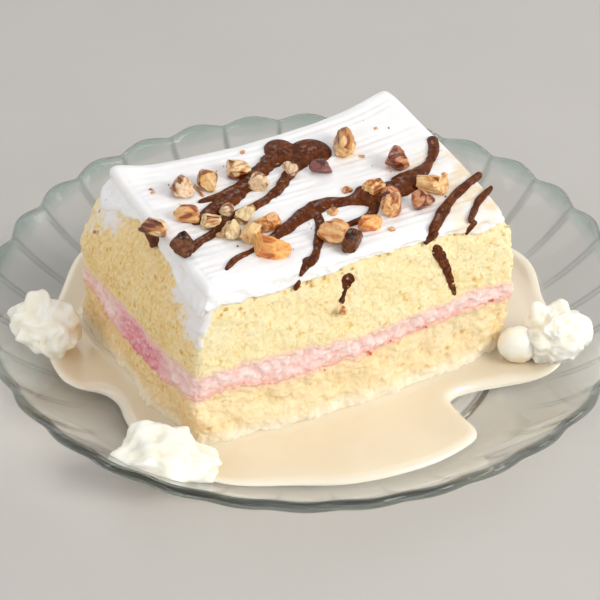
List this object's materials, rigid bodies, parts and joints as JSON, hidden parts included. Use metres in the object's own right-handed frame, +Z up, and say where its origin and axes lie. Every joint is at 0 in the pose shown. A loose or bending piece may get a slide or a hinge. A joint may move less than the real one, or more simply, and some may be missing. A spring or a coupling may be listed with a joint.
{
  "type": "tres leches cake slice on a plate",
  "caption": "Slice of layered milk-soaked sponge with pink filling, combed white icing, chocolate drizzle and chopped pecans, on a scalloped clear glass plate with milk and cream.",
  "frame": {"origin": "centre of the plate's foot, on the table it stands on", "axes": "+X along the long cut face that the picture shows, to the right; +Y away from that face, to the back; +Z up"},
  "size_m": [0.2046, 0.2046, 0.0676],
  "materials": {
    "clear_glass": "clear, faint grey-green at the edge",
    "soaked_sponge": "moist open crumb",
    "sponge": "dry open crumb",
    "pink_filling": "soft, foamy",
    "white_icing": "satin, combed",
    "pecan": "satin, broken faces",
    "milk": "smooth, wet",
    "whipped_cream": "satin"
  },
  "bodies": {
    "root": {"plate": "clear_glass", "sponge_lower": "soaked_sponge", "filling": "pink_filling", "sponge_upper": "sponge", "icing": "white_icing", "cream_left": "whipped_cream", "cream_front": "whipped_cream", "cream_right": "whipped_cream", "cream_ball": "whipped_cream", "milk_pool": "milk", "pecan_01": "pecan", "pecan_02": "pecan", "pecan_03": "pecan", "pecan_04": "pecan", "pecan_05": "pecan", "pecan_06": "pecan", "pecan_07": "pecan", "pecan_08": "pecan", "pecan_09": "pecan", "pecan_10": "pecan", "pecan_11": "pecan", "pecan_12": "pecan", "pecan_13": "pecan", "pecan_14": "pecan", "pecan_15": "pecan", "pecan_16": "pecan", "pecan_17": "pecan", "pecan_18": "pecan", "pecan_19": "pecan", "pecan_20": "pecan", "pecan_21": "pecan", "pecan_22": "pecan", "pecan_23": "pecan", "pecan_24": "pecan", "pecan_25": "pecan", "pecan_26": "pecan"}
  },
  "joints": []
}
